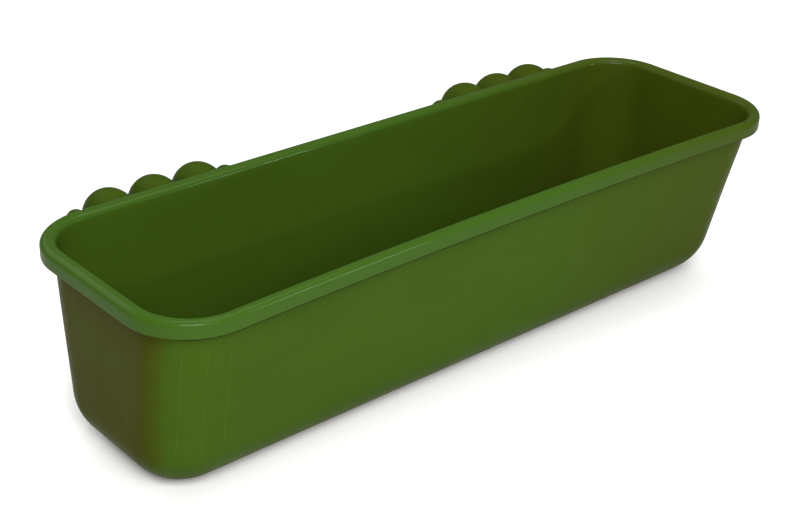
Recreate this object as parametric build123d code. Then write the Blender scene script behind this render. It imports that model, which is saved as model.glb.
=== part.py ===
from build123d import *
import math
import os

# A hang-on trough feeder: a green plastic tub with a turned-down rim, and two fluted hook brackets
# screwed to its rear wall. Millimetres; +X runs along the trough, +Y points to the rear (hook) side
# and +Z is up. The origin is on the underside of the floor, below the centre of the rim.

# Rim and wall of the tub
RIM_LENGTH = 600.0
RIM_WIDTH = 190.0
HEIGHT = 159.0
WALL = 3.0
RIM_CORNER = 49.0
RIM_ROUND = 4.4
RIM_INNER_ROUND = 4.5
LIP_DEPTH = 12.5
LIP_OVERHANG = 8.9
LIP_EDGE_ROUND = 1.0
FRONT_BOW = 5.0

# Foot of the wall, before the large rounding that leads into the floor
FOOT_LENGTH = 569.0
FOOT_FRONT = 54.4
FOOT_BACK = 84.4
FOOT_CORNER = 41.0
FLOOR_ROUND = 39.0

# Hook brackets
BRACKET_OFFSET = 175.3
RIM_CLEARANCE = 0.6
FLUTE_PITCH = 38.2
FLUTE_RADIUS = 17.3
FLUTE_CENTRE = 9.0
BEAD_RADIUS = 5.0
BEAD_CENTRE = 12.4
BEAD_OFFSET = 26.0
BAND_INNER = 11.5
BAND_THICKNESS = 3.0
HOOK_BEHIND_RIM = 17.5
HOOK_DROP = 28.6
TONGUE_LENGTH = 34.0
RISER_LENGTH = 84.0
TONGUE_CORNER = 12.0
PLATE_CORNER = 16.0
VALLEY_ROUND = 1.5
MOUTH_ROUND = 0.8
END_ROUND = 0.8

# Screws and the bosses that they bite into
SCREW_ROWS = (58.0, 86.0)
SCREW_RADIUS = 2.5
SCREW_LENGTH = 14.0
TIP_LENGTH = 2.0
TIP_RADIUS = 0.8
SCREW_CLEARANCE = 0.05
HEAD_RADIUS = 4.6
HEAD_DEPTH = 2.4
RECESS_LENGTH = 4.8
RECESS_WIDTH = 1.1
RECESS_DEPTH = 1.7
PAD_RADIUS = 7.0
BOSS_RADIUS = 6.0
BOSS_HOLE_DEPTH = 11.2
GUSSET_THICKNESS = 2.2
GUSSET_HEIGHT = 13.0
GUSSET_STOP = 1.0

# How closely an edge or a face is matched, how far inside the rim's rounding an edge of the mouth
# lies at least, and how far a cutter runs past what it cuts
MATCH = 0.05
MOUTH_MARGIN = 2.0
OVERCUT = 1.0

# Worked out from the above
rim_back = RIM_WIDTH / 2
plate_front = rim_back + RIM_CLEARANCE
hook_y = rim_back + HOOK_BEHIND_RIM
hook_z = HEIGHT - HOOK_DROP
plate_back = hook_y - BAND_INNER
bracket_half = FLUTE_PITCH + BEAD_OFFSET + BEAD_RADIUS
crest = FLUTE_CENTRE + FLUTE_RADIUS
screw_columns = (-FLUTE_PITCH / 2, FLUTE_PITCH / 2)


def outline(half_length, front, back, corner, bow, z):
    """A rounded rectangle at height z whose front side is drawn in by bow at mid-length."""
    right, rear = half_length - corner, back - corner
    sill = corner - front
    mid = corner * math.sqrt(0.5)
    end_right = (right, -front)
    if bow > 0:
        # The front side is a wide arc that meets both corner arcs without a kink.
        sweep = (right**2 - 2 * corner * bow + bow**2) / (2 * bow)
        far = sill - math.sqrt((sweep + corner) ** 2 - right**2)
        share = sweep / (sweep + corner)
        end_right = (right * share, far + (sill - far) * share)
    end_left = (-end_right[0], end_right[1])
    if bow > 0:
        front_side = ThreePointArc(end_left, (0, bow - front), end_right)
    else:
        front_side = Line(end_left, end_right)
    edges = [
        Line((half_length, sill), (half_length, rear)),
        ThreePointArc((half_length, rear), (right + mid, rear + mid), (right, back)),
        Line((right, back), (-right, back)),
        ThreePointArc((-right, back), (-right - mid, rear + mid), (-half_length, rear)),
        Line((-half_length, rear), (-half_length, sill)),
        ThreePointArc((-half_length, sill), (-right - mid, sill - mid), end_left),
        front_side,
        ThreePointArc(end_right, (right + mid, sill - mid), (half_length, sill)),
    ]
    return Pos(0, 0, z) * make_face(edges)


def wall_section(inset, z):
    """The plan of the wall's outer face at height z, moved inwards by inset."""
    share = z / (HEIGHT - LIP_DEPTH)

    def between(foot, top):
        return foot + (top - foot) * share - inset

    rim_half = RIM_LENGTH / 2 - LIP_OVERHANG
    rim_side = rim_back - LIP_OVERHANG
    return outline(
        between(FOOT_LENGTH / 2, rim_half),
        between(FOOT_FRONT, rim_side),
        between(FOOT_BACK, rim_side),
        between(FOOT_CORNER, RIM_CORNER - LIP_OVERHANG),
        FRONT_BOW * share,
        z,
    )


def rim_section(inset, z):
    side = rim_back - inset
    return outline(RIM_LENGTH / 2 - inset, side, side, RIM_CORNER - inset, FRONT_BOW, z)


def rounded_tub(inset, bottom, top):
    """The space inside one face of the wall, with its large rounding down to the floor."""
    body = loft([wall_section(inset, bottom), wall_section(inset, top)], ruled=True)
    foot = body.faces().sort_by(Axis.Z)[0]
    return fillet(foot.edges(), FLOOR_ROUND - inset)


def make_tub():
    """The one-piece tub: wall, floor, inverted-U rim and the screw bosses on its rear wall."""
    outside = rounded_tub(0, 0, HEIGHT)
    inside = rounded_tub(WALL, WALL, HEIGHT + OVERCUT)
    rim = extrude(rim_section(0, HEIGHT - LIP_DEPTH), LIP_DEPTH)
    rim = fillet(rim.faces().sort_by(Axis.Z)[-1].edges(), RIM_ROUND)
    rim = fillet(rim.faces().sort_by(Axis.Z)[0].edges(), LIP_EDGE_ROUND)
    pocket = extrude(rim_section(WALL, HEIGHT - LIP_DEPTH - OVERCUT), LIP_DEPTH + OVERCUT - WALL)
    tub = outside + (rim - (pocket - outside)) - inside
    tub = fillet(tub.edges().filter_by(is_mouth_edge), RIM_INNER_ROUND)
    for side in (-1, 1):
        for column in screw_columns:
            for row in SCREW_ROWS:
                tub += boss(side * BRACKET_OFFSET + column, row) - inside
    for side in (-1, 1):
        for column in screw_columns:
            for row in SCREW_ROWS:
                tub -= boss_hole(side * BRACKET_OFFSET + column, row)
    return tub


def is_mouth_edge(edge):
    """True for the sharp edges where the inside of the wall meets the top of the rim."""
    box = edge.bounding_box()
    level = abs(box.min.Z - HEIGHT) < MATCH and abs(box.max.Z - HEIGHT) < MATCH
    centre = edge @ 0.5
    margin = RIM_ROUND + MOUTH_MARGIN
    inner = abs(centre.X) < RIM_LENGTH / 2 - margin and abs(centre.Y) < rim_back - margin
    return level and inner


def along_y(x, z, start, length, radius, end_radius=None):
    """A round bar from y = start towards +Y, or a taper if it ends at another radius."""
    plane = Plane(origin=(x, start, z), x_dir=(1, 0, 0), z_dir=(0, 1, 0))
    if end_radius is None:
        return plane * Cylinder(radius, length, align=(Align.CENTER, Align.CENTER, Align.MIN))
    cone = Cone(radius, end_radius, length, align=(Align.CENTER, Align.CENTER, Align.MIN))
    return plane * cone


def boss(x, z):
    """A round boss that stands on the rear wall as far as the bracket, on two thin gussets."""
    root = rim_back - LIP_OVERHANG - WALL
    post = along_y(x, z, root, plate_front - root, BOSS_RADIUS)
    corners = [
        (root, z - GUSSET_HEIGHT),
        (plate_front - GUSSET_STOP, z - BOSS_RADIUS),
        (plate_front - GUSSET_STOP, z + BOSS_RADIUS),
        (root, z + GUSSET_HEIGHT),
    ]
    outline_yz = Plane.YZ.offset(x - GUSSET_THICKNESS / 2) * make_face(Polyline(corners, close=True))
    return post + extrude(outline_yz, GUSSET_THICKNESS)


def boss_hole(x, z):
    return along_y(x, z, plate_front - BOSS_HOLE_DEPTH, BOSS_HOLE_DEPTH, SCREW_RADIUS + SCREW_CLEARANCE)


def flutes(radius, floor):
    """Three round flutes side by side, kept only beyond floor from the centre of the arch."""
    row = Pos(0, FLUTE_CENTRE) * Circle(radius)
    for number in (-1, 1):
        row += Pos(number * FLUTE_PITCH, FLUTE_CENTRE) * Circle(radius)
    below = Pos(0, floor - 2 * radius) * Rectangle(4 * bracket_half, 4 * radius)
    return row - below


def hook_section():
    """The bracket's solid section: a band with three flutes and a bead at each end."""
    width = 2 * (FLUTE_PITCH + BEAD_OFFSET)
    section = Pos(0, BAND_INNER + BAND_THICKNESS / 2) * Rectangle(width, BAND_THICKNESS)
    for side in (-1, 1):
        bead = Pos(side * width / 2, BEAD_CENTRE) * Circle(BEAD_RADIUS)
        section += bead & Pos(side * width / 2, BAND_INNER + width / 2) * Rectangle(width, width)
    return section + flutes(FLUTE_RADIUS, BAND_INNER)


def over_hook(section):
    """A section carried up the riser, over the arch and down the tongue, centred on X = 0."""
    rear = Plane(origin=(0, hook_y, hook_z), x_dir=(1, 0, 0), z_dir=(0, 0, 1)) * section
    front = Plane(origin=(0, hook_y, hook_z), x_dir=(-1, 0, 0), z_dir=(0, 0, 1)) * section
    arch = revolve(rear, axis=Axis((0, hook_y, hook_z), (1, 0, 0)), revolution_arc=180)
    return arch + extrude(rear, -TONGUE_LENGTH) + extrude(front, -RISER_LENGTH)


def in_front_of(y):
    """Everything in front of the upright plane at y."""
    size = 4 * bracket_half
    return Pos(0, y - size / 2, hook_z) * Box(size, size, size)


def lower_corner(side, y_low, y_high, z_low, radius):
    """What is cut away to round one lower corner of a plate that faces along Y."""
    depth = y_high - y_low
    x = side * (bracket_half - radius / 2)
    block = Pos(x, (y_low + y_high) / 2, z_low + radius / 2) * Box(radius, depth, radius)
    return block - along_y(side * (bracket_half - radius), z_low + radius, y_low, depth, radius)


def reach(edge):
    """How far the middle of an edge lies from the line that the section is carried round."""
    middle = edge @ 0.5
    if middle.Z > hook_z:
        return math.hypot(middle.Y - hook_y, middle.Z - hook_z)
    return abs(middle.Y - hook_y)


def edges_at(bracket, distance):
    """The edges that follow the hook at one distance, between the beads."""

    def follows(edge):
        along = abs((edge @ 0).X - (edge @ 1).X) < MATCH
        between = abs((edge @ 0.5).X) < FLUTE_PITCH + FLUTE_RADIUS
        return along and between and abs(reach(edge) - distance) < MATCH

    return bracket.edges().filter_by(follows)


def round_flutes(bracket, tongue_end):
    """Rounds the valleys between the flutes, the flutes' mouths and the tip of the tongue."""
    bracket = fillet(edges_at(bracket, BAND_INNER + BAND_THICKNESS), VALLEY_ROUND)
    bracket = fillet(edges_at(bracket, BAND_INNER), MOUTH_ROUND)

    def is_tip(face):
        centre = face.center()
        return centre.Y > hook_y and abs(centre.Z - tongue_end) < MATCH

    tip = bracket.faces().filter_by(is_tip)[0]
    return fillet(tip.edges(), END_ROUND)


def make_bracket():
    """One fluted hook bracket, centred on X = 0, with countersunk holes for its four screws."""
    solid = over_hook(hook_section()) - in_front_of(plate_front)
    hollow = over_hook(flutes(FLUTE_RADIUS - BAND_THICKNESS, BAND_INNER - OVERCUT))
    bracket = solid - (hollow - in_front_of(plate_front + BAND_THICKNESS))
    tongue_end, plate_end = hook_z - TONGUE_LENGTH, hook_z - RISER_LENGTH
    for side in (-1, 1):
        bracket -= lower_corner(side, hook_y, hook_y + crest + OVERCUT, tongue_end, TONGUE_CORNER)
        bracket -= lower_corner(side, plate_front - OVERCUT, hook_y, plate_end, PLATE_CORNER)
    for column in screw_columns:
        for row in SCREW_ROWS:
            bracket += along_y(column, row, plate_front, plate_back - plate_front, PAD_RADIUS)
    bracket = round_flutes(bracket, tongue_end)
    for column in screw_columns:
        for row in SCREW_ROWS:
            bracket -= screw_body(column, row, SCREW_CLEARANCE, plate_back - plate_front + OVERCUT)
    return bracket


def screw_body(x, z, gap, length):
    """A countersunk screw's outline, gap larger all over, with its head level with the plate."""
    shank, head = SCREW_RADIUS + gap, HEAD_RADIUS + gap
    body = along_y(x, z, plate_back - length, length, shank)
    return body + along_y(x, z, plate_back - HEAD_DEPTH, HEAD_DEPTH, shank, head)


def make_screw(x, z):
    """A countersunk self-tapping screw with a pointed tip and a cross recess in its head."""
    screw = screw_body(x, z, 0, SCREW_LENGTH)
    tip = along_y(x, z, plate_back - SCREW_LENGTH - TIP_LENGTH, TIP_LENGTH, TIP_RADIUS, SCREW_RADIUS)
    recess = Pos(x, plate_back, z) * Box(RECESS_LENGTH, 2 * RECESS_DEPTH, RECESS_WIDTH)
    recess += Pos(x, plate_back, z) * Box(RECESS_WIDTH, 2 * RECESS_DEPTH, RECESS_LENGTH)
    return screw + tip - recess


def screw_set(side):
    """The four screws of one bracket, as separate solids in one group."""
    screws = []
    for column in screw_columns:
        for row in SCREW_ROWS:
            screws.append(make_screw(side * BRACKET_OFFSET + column, row))
    return Compound(children=screws)


def save(name, shape):
    export_step(shape, "parts/" + name + ".step")


os.makedirs("parts", exist_ok=True)
bracket = make_bracket()
save("trough_tub", make_tub())
save("left_hook_bracket", Pos(-BRACKET_OFFSET, 0, 0) * bracket)
save("right_hook_bracket", Pos(BRACKET_OFFSET, 0, 0) * bracket)
save("left_bracket_screws", screw_set(-1))
save("right_bracket_screws", screw_set(1))
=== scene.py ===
import bpy
import bmesh
import math
from mathutils import Matrix, Vector, noise


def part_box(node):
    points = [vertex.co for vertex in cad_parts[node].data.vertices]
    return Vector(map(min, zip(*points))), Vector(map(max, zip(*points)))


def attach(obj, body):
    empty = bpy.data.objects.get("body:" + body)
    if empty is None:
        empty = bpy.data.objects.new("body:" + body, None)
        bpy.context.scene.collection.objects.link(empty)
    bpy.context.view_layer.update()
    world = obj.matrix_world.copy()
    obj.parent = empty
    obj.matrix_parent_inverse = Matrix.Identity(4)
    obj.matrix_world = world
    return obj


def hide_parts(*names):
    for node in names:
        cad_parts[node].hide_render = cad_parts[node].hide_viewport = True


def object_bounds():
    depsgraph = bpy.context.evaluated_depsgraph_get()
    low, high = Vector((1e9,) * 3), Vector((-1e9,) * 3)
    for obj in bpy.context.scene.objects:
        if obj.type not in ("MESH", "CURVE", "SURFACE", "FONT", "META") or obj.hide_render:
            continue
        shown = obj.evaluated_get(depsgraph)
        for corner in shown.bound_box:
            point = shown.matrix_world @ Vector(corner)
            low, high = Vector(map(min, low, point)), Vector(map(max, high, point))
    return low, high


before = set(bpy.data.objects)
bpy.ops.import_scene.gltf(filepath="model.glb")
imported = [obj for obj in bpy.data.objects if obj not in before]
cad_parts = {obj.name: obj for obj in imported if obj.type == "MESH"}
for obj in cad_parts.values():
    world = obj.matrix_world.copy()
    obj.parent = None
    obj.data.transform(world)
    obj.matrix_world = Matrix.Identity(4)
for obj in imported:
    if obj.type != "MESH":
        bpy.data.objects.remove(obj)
cad_low, cad_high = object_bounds()

# All lengths are in metres, in the CAD frame: +X along the trough, +Y to the hook side, +Z up.
MM = 0.001

# The tub, as in the CAD model
rim_half = cad_high.x
rim_back = -cad_low.y
height = cad_high.z
WALL = 3.0 * MM
RIM_CORNER = 49.0 * MM
RIM_ROUND = 4.4 * MM
RIM_INNER_ROUND = 4.5 * MM
LIP_DEPTH = 12.5 * MM
LIP_OVERHANG = 8.9 * MM
LIP_EDGE_ROUND = 1.0 * MM
POCKET_ROUND = 1.5 * MM
FRONT_BOW = 5.0 * MM
FOOT_HALF = 284.5 * MM
FOOT_FRONT = 54.4 * MM
FOOT_BACK = 84.4 * MM
FOOT_CORNER = 41.0 * MM
FLOOR_ROUND = 39.0 * MM
SMALLEST_CORNER = 1.5 * MM

# Details that are moulded on the tub and the hooks
SCREW_HEAD_RADIUS = 4.6 * MM
SCREW_HOLE_RADIUS = 2.55 * MM
BOSS_RADIUS = 6.0 * MM
BOSS_FLARE = 1.2 * MM
BOSS_EDGE = 0.4 * MM
BOSS_HOLE_DEPTH = 11.2 * MM
GUSSET_THICKNESS = 2.2 * MM
GUSSET_HEIGHT = 13.0 * MM
GUSSET_EDGE = 0.35 * MM
GUSSET_STOP = 1.0 * MM
MARK_PLACES = (3.2 * MM, -13.5 * MM, -30.2 * MM)
MARK_LOW, MARK_HIGH = 43.0 * MM, 130.0 * MM
# A ridge's cross-section, as (place along the wall, how far it stands off the wall)
MARK_PROFILE = (
    (-0.50 * MM, -0.30 * MM),
    (-0.42 * MM, 0.00 * MM),
    (-0.12 * MM, 0.20 * MM),
    (0.12 * MM, 0.20 * MM),
    (0.42 * MM, 0.00 * MM),
    (0.50 * MM, -0.30 * MM),
)
WALL_SWAY = 0.35 * MM
SWAY_SEED = 7
SWAY_SCALE = 9.0
FINE_SWAY_SCALE = 26.0
FINE_SWAY_SHARE = 0.4
FLUTE_CENTRE = 9.0 * MM
FLUTE_RADIUS = 17.3 * MM
GATE_RADIUS = 1.7 * MM
GATE_PROUD = 0.45 * MM
GATE_SUNK = 1.0 * MM
GATE_SLOPE = math.radians(100)
GATE_TURN = math.radians(4)
# The gate mark's dished top: (share of its radius, share of its height), from its edge inwards
GATE_TOP = ((1.0, 0.5), (0.75, 1.0), (0.35, 0.8), (0.0, 0.7))

# How finely the tub's outline is divided, and how many steps of a side a floor's end fan takes in
CORNER_STEPS = 24
SIDE_STEPS = 120
END_STEPS = 20
FAN_STEPS = 15

# How many rings each stretch of the tub's section is divided into
INNER_FLOOR_STEPS = 18
OUTER_FLOOR_STEPS = 20
WALL_STEPS = 24
RIM_STEPS = 8
LIP_STEPS = 4
LIP_EDGE_STEPS = 4
LIP_BACK_STEPS = 3
POCKET_STEPS = 4
GROOVE_STEPS = 2

# How finely the details are divided, and the edge angle in degrees beyond which they stay sharp
TURNED_SEGMENTS = 32
FLARE_STEPS = 5
BOSS_EDGE_STEPS = 3
GUSSET_EDGE_STEPS = 2
MARK_STEPS = 40
MARK_FADE_STEPS = 5
BOSS_SHARP_ANGLE = 35
MARK_SHARP_ANGLE = 15


# ---------------------------------------------------------------- tub mesh


def arc_points(centre, radius, start, stop, steps):
    """Points along an arc, from the start angle to just before the stop angle, in radians."""
    points = []
    for i in range(steps):
        angle = start + (stop - start) * i / steps
        points.append((centre[0] + radius * math.cos(angle), centre[1] + radius * math.sin(angle)))
    return points


def line_points(start, stop, steps):
    points = []
    for i in range(steps):
        share = i / steps
        points.append(tuple(a + (b - a) * share for a, b in zip(start, stop)))
    return points


def front_sweep(right, sill, corner, bow):
    """The wide arc of a bowed front: its radius, the y of its centre and the angle, seen from
    there, between its middle and its end."""
    sweep = (right**2 - 2 * corner * bow + bow**2) / (2 * bow)
    far = sill - math.sqrt((sweep + corner) ** 2 - right**2)
    return sweep, far, math.atan2(right, sill - far)


def outline(half_length, front, back, corner, bow, z):
    """One ring of points round the tub at height z. It starts in the middle of the right-hand
    end, runs over the rear and returns along the front, whose middle is drawn in by bow."""
    right, rear, sill = half_length - corner, back - corner, corner - front
    lean = 0.0
    if bow > 0:
        sweep, far, lean = front_sweep(right, sill, corner, bow)
    quarter = math.pi / 2
    points = line_points((half_length, 0), (half_length, rear), END_STEPS // 2)
    points += arc_points((right, rear), corner, 0, quarter, CORNER_STEPS)
    points += line_points((right, back), (-right, back), SIDE_STEPS)
    points += arc_points((-right, rear), corner, quarter, 2 * quarter, CORNER_STEPS)
    points += line_points((-half_length, rear), (-half_length, 0), END_STEPS // 2)
    points += line_points((-half_length, 0), (-half_length, sill), END_STEPS // 2)
    points += arc_points((-right, sill), corner, 2 * quarter, 3 * quarter + lean, CORNER_STEPS)
    if bow > 0:
        points += arc_points((0, far), sweep, quarter + lean, quarter - lean, SIDE_STEPS)
    else:
        points += line_points((-right, -front), (right, -front), SIDE_STEPS)
    points += arc_points((right, sill), corner, 3 * quarter - lean, 4 * quarter, CORNER_STEPS)
    points += line_points((half_length, sill), (half_length, 0), END_STEPS // 2)
    return [(x, y, z) for x, y in points]


def wall_plan(inset, z):
    """The plan of the wall at height z, moved inwards by inset: half its length, its front, its
    back, its corner radius and its bow."""
    share = z / (height - LIP_DEPTH)

    def between(foot, top):
        return foot + (top - foot) * share - inset

    side = rim_back - LIP_OVERHANG
    corner = max(between(FOOT_CORNER, RIM_CORNER - LIP_OVERHANG), SMALLEST_CORNER)
    ends = between(FOOT_HALF, rim_half - LIP_OVERHANG)
    return ends, between(FOOT_FRONT, side), between(FOOT_BACK, side), corner, FRONT_BOW * share


def wall_ring(inset, z):
    return outline(*wall_plan(inset, z), z)


def rim_ring(inset, z):
    side = rim_back - inset
    return outline(rim_half - inset, side, side, RIM_CORNER - inset, FRONT_BOW, z)


def spread(low, high, steps):
    """Evenly spaced values from low to high, both included."""
    return [low + (high - low) * i / steps for i in range(steps + 1)]


def tub_rings():
    """The tub's skin as rings, from the middle of the inner floor round the rim to its underside,
    and the numbers of the rings where the rim starts and where the groove under the lip starts
    and ends."""
    inner_round = FLOOR_ROUND - WALL
    top = height - RIM_INNER_ROUND
    lip_end = height - LIP_DEPTH
    pocket = height - WALL - POCKET_ROUND
    quarter = math.pi / 2
    rings = []
    for angle in spread(quarter, 0, INNER_FLOOR_STEPS):
        inset = WALL + inner_round * (1 - math.cos(angle))
        rings.append(wall_ring(inset, WALL + inner_round * (1 - math.sin(angle))))
    for z in spread(WALL + inner_round, top, WALL_STEPS)[1:]:
        rings.append(wall_ring(WALL, z))
    rim_start = len(rings) - 1
    for angle in spread(0, quarter, RIM_STEPS)[1:]:
        inset = WALL - RIM_INNER_ROUND * (1 - math.cos(angle))
        rings.append(wall_ring(inset, top + RIM_INNER_ROUND * math.sin(angle)))
    for angle in spread(quarter, 0, RIM_STEPS):
        inset = RIM_ROUND * (1 - math.cos(angle))
        rings.append(rim_ring(inset, height - RIM_ROUND * (1 - math.sin(angle))))
    for z in spread(height - RIM_ROUND, lip_end + LIP_EDGE_ROUND, LIP_STEPS)[1:]:
        rings.append(rim_ring(0, z))
    groove_start = len(rings) - 1
    for angle in spread(0, quarter, LIP_EDGE_STEPS)[1:]:
        inset = LIP_EDGE_ROUND * (1 - math.cos(angle))
        rings.append(rim_ring(inset, lip_end + LIP_EDGE_ROUND * (1 - math.sin(angle))))
    for angle in spread(quarter, 0, LIP_EDGE_STEPS):
        inset = WALL - LIP_EDGE_ROUND * (1 - math.cos(angle))
        rings.append(rim_ring(inset, lip_end + LIP_EDGE_ROUND * (1 - math.sin(angle))))
    for z in spread(lip_end + LIP_EDGE_ROUND, pocket, LIP_BACK_STEPS)[1:]:
        rings.append(rim_ring(WALL, z))
    for angle in spread(0, quarter, POCKET_STEPS)[1:]:
        inset = WALL + POCKET_ROUND * (1 - math.cos(angle))
        rings.append(rim_ring(inset, height - WALL - POCKET_ROUND * (1 - math.sin(angle))))
    for angle in spread(quarter, 0, POCKET_STEPS):
        inset = -POCKET_ROUND * (1 - math.cos(angle))
        rings.append(wall_ring(inset, height - WALL - POCKET_ROUND * (1 - math.sin(angle))))
    for z in spread(pocket, lip_end, GROOVE_STEPS)[1:]:
        rings.append(wall_ring(0, z))
    groove_end = len(rings) - 1
    for z in spread(lip_end, FLOOR_ROUND, WALL_STEPS)[1:]:
        rings.append(wall_ring(0, z))
    for angle in spread(0, quarter, OUTER_FLOOR_STEPS)[1:]:
        inset = FLOOR_ROUND * (1 - math.cos(angle))
        rings.append(wall_ring(inset, FLOOR_ROUND * (1 - math.sin(angle))))
    return rings, rim_start, groove_start, groove_end


def mesh_object(name, mesh_data, smooth_angle=None):
    """A new object from a bmesh, shaded smooth, or sharp beyond smooth_angle degrees."""
    mesh = bpy.data.meshes.new(name)
    bmesh.ops.recalc_face_normals(mesh_data, faces=mesh_data.faces)
    mesh_data.to_mesh(mesh)
    mesh_data.free()
    obj = bpy.data.objects.new(name, mesh)
    bpy.context.scene.collection.objects.link(obj)
    mesh.shade_smooth()
    if smooth_angle is not None:
        mesh.set_sharp_from_angle(angle=math.radians(smooth_angle))
    return obj


def fill_floor(made, ring):
    """Closes a ring that is divided alike at front and rear: quads on both sides of a spine along
    its middle, and a fan of triangles from each end of the spine to the end of the ring."""
    count = len(ring)
    first = END_STEPS // 2 + CORNER_STEPS + FAN_STEPS
    last = count // 2 - 1 - first
    spine = {}
    for i in range(first, last + 1):
        spine[i] = made.verts.new((ring[i].co + ring[count - 1 - i].co) / 2)
    for i in range(first, last):
        made.faces.new((ring[i], ring[i + 1], spine[i + 1], spine[i]))
        made.faces.new((spine[i], spine[i + 1], ring[count - 2 - i], ring[count - 1 - i]))
    left_end = ring[last : count - last]
    right_end = ring[count - 1 - first :] + ring[: first + 1]
    for pole, edge in ((spine[last], left_end), (spine[first], right_end)):
        for start, stop in zip(edge, edge[1:]):
            made.faces.new((pole, start, stop))


def join_rings(made, rings, material=0):
    """Quads between each ring of vertices and the next, in the object's material of that number."""
    for low, high in zip(rings, rings[1:]):
        count = len(low)
        for i in range(count):
            j = (i + 1) % count
            face = made.faces.new((low[i], low[j], high[j], high[i]))
            face.material_index = material


def sway(point):
    """The slight unevenness of a large moulded wall: none at the floor or the rim."""
    span = min(max((point.z - FLOOR_ROUND) / (height - LIP_DEPTH - FLOOR_ROUND), 0.0), 1.0)
    fade = math.sin(math.pi * span) ** 2
    fine = noise.noise_vector(point * FINE_SWAY_SCALE)
    drift = noise.noise_vector(point * SWAY_SCALE) + FINE_SWAY_SHARE * fine
    return Vector((drift.x, drift.y, 0.0)) * WALL_SWAY * fade


def make_tub():
    """The tub, whose second material is for its rim and third, painted dark as the lip's shadow, for
    the groove under the lip.
    """
    made = bmesh.new()
    outlines, rim_start, groove_start, groove_end = tub_rings()
    rings = [[made.verts.new(point) for point in points] for points in outlines]
    join_rings(made, rings[: rim_start + 1])
    join_rings(made, rings[rim_start : groove_start + 1], material=1)
    join_rings(made, rings[groove_start : groove_end + 1], material=2)
    join_rings(made, rings[groove_end:])
    fill_floor(made, rings[0])
    fill_floor(made, rings[-1])
    for vertex in made.verts:
        vertex.co += sway(vertex.co)
    return mesh_object("tub", made)


# ---------------------------------------------------------------- moulded details


def turned(made, profile, centre, axis, segments=TURNED_SEGMENTS):
    """A closed turned solid. The profile is a list of (radius, distance along the axis), and
    its two ends are closed where they meet the axis."""
    along = axis.normalized()
    across = along.orthogonal().normalized()
    third = along.cross(across)
    rings = []
    for radius, distance in profile[1:-1]:
        ring = []
        for i in range(segments):
            angle = 2 * math.pi * i / segments
            spoke = math.cos(angle) * across + math.sin(angle) * third
            ring.append(made.verts.new(centre + along * distance + spoke * radius))
        rings.append(ring)
    join_rings(made, rings)
    for ring, end in ((rings[0], profile[0]), (rings[-1], profile[-1])):
        pole = made.verts.new(centre + along * end[1])
        for i in range(segments):
            made.faces.new((ring[i], ring[(i + 1) % segments], pole))


def boss_profile(root, wall, end):
    """A boss from inside the wall, with a flare where it leaves it, to its end and down its hole."""
    profile = [(0, root), (BOSS_RADIUS + BOSS_FLARE, root)]
    for angle in spread(0, math.pi / 2, FLARE_STEPS):
        flare = BOSS_FLARE * (1 - math.sin(angle))
        profile.append((BOSS_RADIUS + flare, wall + BOSS_FLARE * (1 - math.cos(angle))))
    for angle in spread(0, math.pi / 2, BOSS_EDGE_STEPS):
        edge = BOSS_EDGE * (1 - math.cos(angle))
        profile.append((BOSS_RADIUS - edge, end - BOSS_EDGE * (1 - math.sin(angle))))
    profile += [(SCREW_HOLE_RADIUS, end), (SCREW_HOLE_RADIUS, end - BOSS_HOLE_DEPTH)]
    return profile + [(0, end - BOSS_HOLE_DEPTH)]


def gusset(made, x, z, root, end):
    """The two thin gussets of a boss, as one tapered plate through it, with softened edges."""
    corners = (
        (root, z - GUSSET_HEIGHT),
        (end - GUSSET_STOP, z - BOSS_RADIUS),
        (end - GUSSET_STOP, z + BOSS_RADIUS),
        (root, z + GUSSET_HEIGHT),
    )
    sides = []
    for side in (-1, 1):
        across = x + side * GUSSET_THICKNESS / 2
        sides.append([made.verts.new((across, y, up)) for y, up in corners])
    faces = [made.faces.new(sides[0]), made.faces.new(list(reversed(sides[1])))]
    for i in range(4):
        j = (i + 1) % 4
        faces.append(made.faces.new((sides[0][i], sides[1][i], sides[1][j], sides[0][j])))
    # A dict keeps each edge once and in the same order every run, which a set doesn't.
    edges = dict.fromkeys(edge for face in faces for edge in face.edges)
    bmesh.ops.bevel(
        made,
        geom=list(edges),
        offset=GUSSET_EDGE,
        segments=GUSSET_EDGE_STEPS,
        affect="EDGES",
        profile=0.5,
    )


def make_bosses():
    """The screw bosses behind the rear wall, each where a screw of its bracket goes in."""
    made = bmesh.new()
    for side in ("left", "right"):
        low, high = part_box(side + "_bracket_screws")
        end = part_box(side + "_hook_bracket")[0][1]
        for x in (low[0] + SCREW_HEAD_RADIUS, high[0] - SCREW_HEAD_RADIUS):
            for z in (low[2] + SCREW_HEAD_RADIUS, high[2] - SCREW_HEAD_RADIUS):
                wall = wall_plan(0, z)[2]
                root = wall - WALL / 2
                turned(made, boss_profile(root, wall, end), Vector((x, 0, z)), Vector((0, 1, 0)))
                gusset(made, x, z, root, end)
    return mesh_object("screw_bosses", made, BOSS_SHARP_ANGLE)


def front_corner_point(place, z, proud):
    """A point on the wall's outer face near the front left corner, stood off by proud. Place is
    the distance along the wall from where the corner's arc ends, positive along the front."""
    ends, front, _, corner, bow = wall_plan(0, z)
    right, sill = ends - corner, corner - front
    sweep, far, lean = front_sweep(right, sill, corner, bow)
    if place < 0:
        angle = 1.5 * math.pi + lean + place / corner
        reach = corner + proud
        point = Vector((-right + reach * math.cos(angle), sill + reach * math.sin(angle), z))
    else:
        angle = math.pi / 2 + lean - place / sweep
        reach = sweep - proud
        point = Vector((reach * math.cos(angle), far + reach * math.sin(angle), z))
    return point + sway(point)


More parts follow.
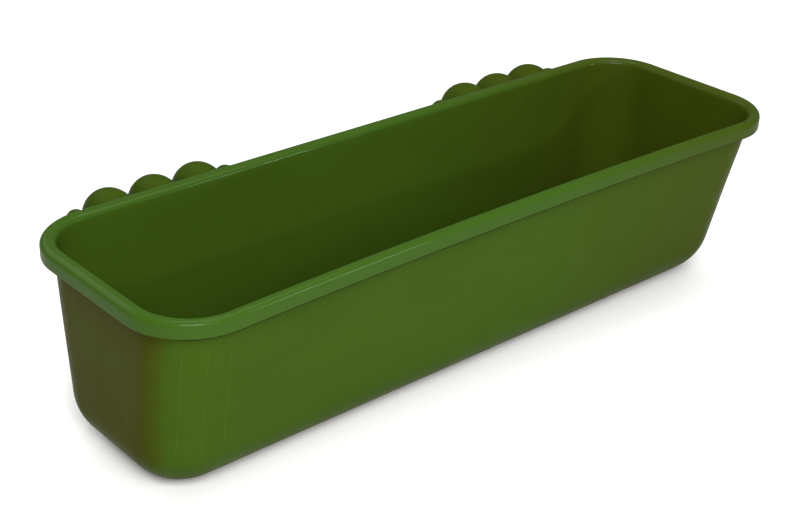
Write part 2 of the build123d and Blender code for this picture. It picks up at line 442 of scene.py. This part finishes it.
def make_wall_marks():
    """Three faint upright ridges on the wall at the front left corner."""
    made = bmesh.new()
    for place in MARK_PLACES:
        rings = []
        for step, z in enumerate(spread(MARK_LOW, MARK_HIGH, MARK_STEPS)):
            fade = min(step, MARK_STEPS - step, MARK_FADE_STEPS) / MARK_FADE_STEPS
            taper = math.sin(math.pi / 2 * fade)
            ring = []
            for offset, proud in MARK_PROFILE:
                stand = proud * taper if proud > 0 else proud
                ring.append(made.verts.new(front_corner_point(place + offset, z, stand)))
            rings.append(ring)
        join_rings(made, rings)
        made.faces.new(rings[0])
        made.faces.new(rings[-1])
    return mesh_object("wall_marks", made, MARK_SHARP_ANGLE)


def make_gate_mark():
    """The small round gate mark near the crest of the left bracket's middle flute."""
    low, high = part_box("left_hook_bracket")
    crest = FLUTE_CENTRE + FLUTE_RADIUS
    outward = Vector(
        (
            math.sin(GATE_TURN),
            math.cos(GATE_TURN) * math.cos(GATE_SLOPE),
            math.cos(GATE_TURN) * math.sin(GATE_SLOPE),
        )
    )
    middle = Vector(((low[0] + high[0]) / 2, high[1] - crest, high[2] - crest))
    flute = middle + FLUTE_CENTRE * Vector((0, math.cos(GATE_SLOPE), math.sin(GATE_SLOPE)))
    profile = [(0, -GATE_SUNK), (GATE_RADIUS, -GATE_SUNK)]
    profile += [(GATE_RADIUS * reach, GATE_PROUD * rise) for reach, rise in GATE_TOP]
    made = bmesh.new()
    turned(made, profile, flute + FLUTE_RADIUS * outward, outward)
    return mesh_object("hook_gate_mark", made)


# ---------------------------------------------------------------- materials

# Colours as (red, green, blue): two shades of each plastic, what lies over it, the shade and
# light painted on it, steel and floor
GREEN, DEEP_GREEN = (0.0318, 0.0640, 0.0050), (0.0285, 0.0575, 0.0043)
HOOK_GREEN, HOOK_DEEP_GREEN = (0.0275, 0.0505, 0.0034), (0.0250, 0.0455, 0.0029)
# Painted highlight: the ridges' lighter green stands in for the light they catch
LIT_RIDGE_GREEN = (0.0395, 0.0790, 0.0066)
# Painted shadow: near black for the groove under the lip, where the lip casts its shadow
LIP_SHADOW, DEEP_LIP_SHADOW = (0.0110, 0.0100, 0.0013), (0.0080, 0.0072, 0.0009)
RIM_GREEN, DEEP_RIM_GREEN = (0.0268, 0.0640, 0.0054), (0.0261, 0.0627, 0.0053)
WORN_GREEN = (0.064, 0.104, 0.022)
# Painted shade: the brown tint given to both ends of the plastic
END_SHADE = (0.0325, 0.0350, 0.0012)
# Painted shade: the brown tint for the foot of the plastic
FOOT_SHADE = (0.0430, 0.0350, 0.0040)
BRIGHT_ZINC, DULL_ZINC = (0.50, 0.51, 0.50), (0.34, 0.35, 0.35)
PALE_FLOOR, PALER_FLOOR = (0.88, 0.875, 0.865), (0.90, 0.895, 0.885)

# Where painted shade turns the plastic browner along X at each end, at the left measured at the
# foot of the wall, which leans out by END_SHADE_LEAN, and how unevenly; the heights between which
# the painted shade at the foot thins out above the ground
LEFT_END_SHADE = (-277.0 * MM, -284.8 * MM)
RIGHT_END_SHADE = (50.0 * MM, 300.0 * MM)
RIGHT_END_SHADE_SHARE = 0.62
END_SHADE_LEAN = 0.045
END_SHADE_DRIFT = 9.0 * MM
FOOT_SHADE_LEVELS = (24.0 * MM, 4.0 * MM)

# How much the wear shows, how rough the plastic is where it is whole and how much rougher where
# it is scuffed, and the thin gloss that rubbing gives the rim
DUST_SHARE = 0.16
SCUFF_SHARE = 0.22
SATIN_ROUGHNESS = (0.34, 0.46)
SCUFF_ROUGHNESS = 0.5
RIM_GLOSS = 0.11
RIM_GLOSS_ROUGHNESS = 0.09
PLASTIC_IOR = 1.49
PLASTIC_SPECULAR = 0.01
GRAIN_DEPTH = 0.03 * MM
RIPPLE_DEPTH = 0.4 * MM
STEEL_ROUGHNESS = (0.22, 0.5)
STEEL_MARK_DEPTH = 0.02 * MM
FLOOR_ROUGHNESS = 0.85


class Nodes:
    """A short way to build one node material."""

    def __init__(self, name):
        self.material = bpy.data.materials.new(name)
        self.material.use_nodes = True
        self.tree = self.material.node_tree
        self.shader = self.tree.nodes["Principled BSDF"]
        self.place = self.add("ShaderNodeTexCoord").outputs["Object"]

    def add(self, kind, **settings):
        node = self.tree.nodes.new(kind)
        for name, value in settings.items():
            setattr(node, name, value)
        return node

    def link(self, source, target):
        self.tree.links.new(source, target)

    def noise(self, scale, detail, roughness, stretch=(1.0, 1.0, 1.0), distortion=0.0):
        """Noise at scale features per metre, drawn out along an axis by stretch."""
        mapping = self.add("ShaderNodeMapping")
        mapping.inputs["Scale"].default_value = stretch
        self.link(self.place, mapping.inputs["Vector"])
        node = self.add("ShaderNodeTexNoise")
        node.inputs["Scale"].default_value = scale
        node.inputs["Detail"].default_value = detail
        node.inputs["Roughness"].default_value = roughness
        node.inputs["Distortion"].default_value = distortion
        self.link(mapping.outputs["Vector"], node.inputs["Vector"])
        return node.outputs["Fac"]

    def along(self, axis):
        """The place along one axis of the object."""
        node = self.add("ShaderNodeSeparateXYZ")
        self.link(self.place, node.inputs["Vector"])
        return node.outputs[axis]

    def ramp(self, source, low, high, to_low=0.0, to_high=1.0):
        """Maps low..high onto to_low..to_high, and clamps beyond."""
        node = self.add("ShaderNodeMapRange")
        limits = {"From Min": low, "From Max": high, "To Min": to_low, "To Max": to_high}
        for socket, value in limits.items():
            node.inputs[socket].default_value = value
        self.link(source, node.inputs["Value"])
        return node.outputs["Result"]

    def mix(self, factor, first, second):
        """Mixes two colours, each a fixed colour or a socket."""
        node = self.add("ShaderNodeMix", data_type="RGBA")
        self.link(factor, node.inputs["Factor"])
        # Inputs 6 and 7 are the node's two colours, which share their names with its other inputs.
        for socket, value in ((node.inputs[6], first), (node.inputs[7], second)):
            if isinstance(value, tuple):
                socket.default_value = (*value, 1.0)
            else:
                self.link(value, socket)
        return node.outputs[2]

    def math(self, operation, first, second):
        node = self.add("ShaderNodeMath", operation=operation)
        for socket, value in zip(node.inputs, (first, second)):
            if isinstance(value, float):
                socket.default_value = value
            else:
                self.link(value, socket)
        return node.outputs["Value"]

    def bump(self, source, distance, strength, below=None):
        node = self.add("ShaderNodeBump")
        node.inputs["Distance"].default_value = distance
        node.inputs["Strength"].default_value = strength
        self.link(source, node.inputs["Height"])
        if below is not None:
            self.link(below, node.inputs["Normal"])
        return node.outputs["Normal"]

    def set(self, **values):
        """Sets the shader's own sockets to fixed values."""
        for name, value in values.items():
            self.shader.inputs[name.replace("_", " ")].default_value = value


def moulded_plastic(name, colour, shade, rubbed_and_lit=0.0):
    """Satin polypropylene: a fine moulded grain, slow flow marks, faint scuffs and dusty patches.
    It has painted shade: browner at the ends, and brown in patches at its foot. Where hands and
    feeding animals rub it, from 0 to 1, it is glossier and its left end loses the painted shade."""
    made = Nodes(name)
    level = made.along("Z")
    flow = made.noise(9.0, detail=5.0, roughness=0.6, stretch=(0.5, 1.0, 1.6), distortion=0.6)
    body = made.mix(made.ramp(flow, 0.35, 0.68), colour, shade)

    # Painted shade: both ends are tinted browner, unevenly, the left one measured along the foot of
    # the leaning wall.
    run = made.math("ADD", made.along("X"), made.ramp(flow, 0.0, 1.0, -END_SHADE_DRIFT, END_SHADE_DRIFT))
    foot = made.math("ADD", run, made.math("MULTIPLY", level, END_SHADE_LEAN))
    left = made.ramp(foot, *LEFT_END_SHADE, 0.0, 1.0 - rubbed_and_lit)
    right = made.ramp(run, *RIGHT_END_SHADE, 0.0, RIGHT_END_SHADE_SHARE)
    body = made.mix(made.math("MAXIMUM", left, right), body, END_SHADE)

    # Painted shade: patches low on the plastic are tinted brown, fading out with height.
    patchy = made.ramp(flow, 0.2, 0.5, 0.6, 1.0)
    body = made.mix(made.math("MULTIPLY", made.ramp(level, *FOOT_SHADE_LEVELS), patchy), body, FOOT_SHADE)

    dust = made.ramp(made.noise(38.0, detail=8.0, roughness=0.7), 0.56, 0.82, 0.0, DUST_SHARE)
    scuff = made.noise(260.0, detail=3.0, roughness=0.6, stretch=(0.12, 1.0, 2.4))
    scuff = made.ramp(scuff, 0.66, 0.74, 0.0, SCUFF_SHARE)
    body = made.mix(made.math("MAXIMUM", dust, scuff), body, WORN_GREEN)
    made.link(body, made.shader.inputs["Base Color"])

    satin = made.ramp(made.noise(60.0, detail=6.0, roughness=0.65), 0.3, 0.75, *SATIN_ROUGHNESS)
    rough = made.math("ADD", satin, made.math("MULTIPLY", scuff, SCUFF_ROUGHNESS))
    made.link(rough, made.shader.inputs["Roughness"])
    made.set(IOR=PLASTIC_IOR, Specular_IOR_Level=PLASTIC_SPECULAR)
    made.set(Coat_Weight=RIM_GLOSS * rubbed_and_lit, Coat_Roughness=RIM_GLOSS_ROUGHNESS)

    grain = made.bump(made.noise(2600.0, detail=2.0, roughness=0.5), GRAIN_DEPTH, 0.35)
    ripple = made.noise(45.0, detail=3.0, roughness=0.5)
    made.link(made.bump(ripple, RIPPLE_DEPTH, 0.12, below=grain), made.shader.inputs["Normal"])
    return made.material


def plated_steel(name):
    """Bright zinc plate: fine turning marks, dull patches and a little white bloom."""
    made = Nodes(name)
    bloom = made.ramp(made.noise(900.0, detail=6.0, roughness=0.7), 0.5, 0.8)
    body = made.mix(bloom, BRIGHT_ZINC, DULL_ZINC)
    made.link(body, made.shader.inputs["Base Color"])
    dull = made.ramp(made.noise(1500.0, detail=4.0, roughness=0.6), 0.3, 0.8, *STEEL_ROUGHNESS)
    made.link(dull, made.shader.inputs["Roughness"])
    marks = made.bump(made.noise(4000.0, detail=2.0, roughness=0.5), STEEL_MARK_DEPTH, 0.5)
    made.link(marks, made.shader.inputs["Normal"])
    made.set(Metallic=1.0)
    return made.material


def studio_floor(name):
    made = Nodes(name)
    tone = made.ramp(made.noise(1.2, detail=3.0, roughness=0.5), 0.3, 0.7)
    made.link(made.mix(tone, PALE_FLOOR, PALER_FLOOR), made.shader.inputs["Base Color"])
    made.set(Roughness=FLOOR_ROUGHNESS)
    return made.material


def paint(obj, *materials):
    """Gives an object these materials instead of those it has."""
    if len(obj.data.materials) > 0:
        obj.data.materials.clear()
    for material in materials:
        obj.data.materials.append(material)


# ---------------------------------------------------------------- the object

# Without a seed, the noise starts from the clock and the walls differ at every run.
noise.seed_set(SWAY_SEED)

tub_plastic = moulded_plastic("tub_green", GREEN, DEEP_GREEN)
# The rim is glossy and carries no painted shade at its left end.
rim_plastic = moulded_plastic("rim_green", RIM_GREEN, DEEP_RIM_GREEN, rubbed_and_lit=1.0)
# Painted highlight: the wall's ridges are painted a lighter green.
lit_ridge_plastic = moulded_plastic("lit_ridge_green", LIT_RIDGE_GREEN, GREEN)
# Painted shadow: the groove under the lip.
lip_shadow_plastic = moulded_plastic("lip_shadow_green", LIP_SHADOW, DEEP_LIP_SHADOW)
hook_plastic = moulded_plastic("hook_green", HOOK_GREEN, HOOK_DEEP_GREEN)
steel = plated_steel("zinc_plate")

tub = make_tub()
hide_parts("trough_tub")
for piece, materials, slot in (
    (tub, (tub_plastic, rim_plastic, lip_shadow_plastic), "tub_plastic"),
    (make_bosses(), (tub_plastic,), "tub_plastic"),
    (make_wall_marks(), (lit_ridge_plastic,), "tub_plastic"),
    (make_gate_mark(), (hook_plastic,), "bracket_plastic"),
):
    paint(piece, *materials)
    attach(piece, "root")

for side in ("left", "right"):
    paint(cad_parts[side + "_hook_bracket"], hook_plastic)
    paint(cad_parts[side + "_bracket_screws"], steel)


# ---------------------------------------------------------------- studio

FLOOR_HALF = 6.0
CAMERA_AZIMUTH = -41.57
CAMERA_ELEVATION = 27.33
CAMERA_ROLL = 1.61
CAMERA_DISTANCE = 1.140
CAMERA_TARGET = Vector((-0.0413, -0.0080, 0.0943))
CAMERA_LENS = 68.6
SENSOR_WIDTH = 36.0


def make_floor():
    bpy.ops.mesh.primitive_plane_add(size=2 * FLOOR_HALF, location=(0, 0, 0))
    floor = bpy.context.object
    floor.name = "studio_floor"
    paint(floor, studio_floor("pale_floor"))


def make_world(colour, strength):
    world = bpy.data.worlds.new("studio")
    bpy.context.scene.world = world
    world.use_nodes = True
    background = world.node_tree.nodes["Background"]
    background.inputs["Color"].default_value = (*colour, 1.0)
    background.inputs["Strength"].default_value = strength


def softbox(name, place, aim, size, power):
    """A white rectangular light of size width and height, with power in watts."""
    data = bpy.data.lights.new(name, "AREA")
    data.shape = "RECTANGLE"
    data.size, data.size_y = size
    data.energy = power
    light = bpy.data.objects.new(name, data)
    bpy.context.scene.collection.objects.link(light)
    light.location = place
    light.rotation_euler = (Vector(aim) - Vector(place)).to_track_quat("-Z", "Y").to_euler()


def make_camera():
    azimuth, elevation = math.radians(CAMERA_AZIMUTH), math.radians(CAMERA_ELEVATION)
    back = Vector(
        (
            math.sin(azimuth) * math.cos(elevation),
            -math.cos(azimuth) * math.cos(elevation),
            math.sin(elevation),
        )
    )
    right = (-back).cross(Vector((0, 0, 1))).normalized()
    up = right.cross(-back)
    turn = math.radians(CAMERA_ROLL)
    rolled_right = math.cos(turn) * right + math.sin(turn) * up
    rolled_up = -math.sin(turn) * right + math.cos(turn) * up
    data = bpy.data.cameras.new("camera")
    data.sensor_width = SENSOR_WIDTH
    data.lens = CAMERA_LENS
    camera = bpy.data.objects.new("camera", data)
    bpy.context.scene.collection.objects.link(camera)
    axes = Matrix((rolled_right, rolled_up, back)).transposed().to_4x4()
    camera.matrix_world = Matrix.Translation(CAMERA_TARGET + back * CAMERA_DISTANCE) @ axes
    bpy.context.scene.camera = camera


make_floor()
make_world((1.0, 0.97, 0.98), 0.35)
softbox("key", place=(-0.95, -1.1, 1.25), aim=(0, 0, 0.1), size=(0.9, 0.7), power=30)
softbox("front_fill", place=(-0.5, -1.35, 1.05), aim=(-0.1, 0, 0.1), size=(1.0, 0.7), power=11)
softbox("overhead", place=(0.2, 0.05, 2.0), aim=(0.1, 0, 0.1), size=(1.6, 1.4), power=32)
softbox("back_light", place=(-0.4, 1.6, 1.3), aim=(0, 0, 0.1), size=(1.8, 0.8), power=11)
softbox("rim_light", place=(0.8, -1.3, 0.63), aim=(-0.1, 0, 0.15), size=(0.24, 0.06), power=5)
make_camera()
bpy.context.scene.view_settings.view_transform = "Standard"
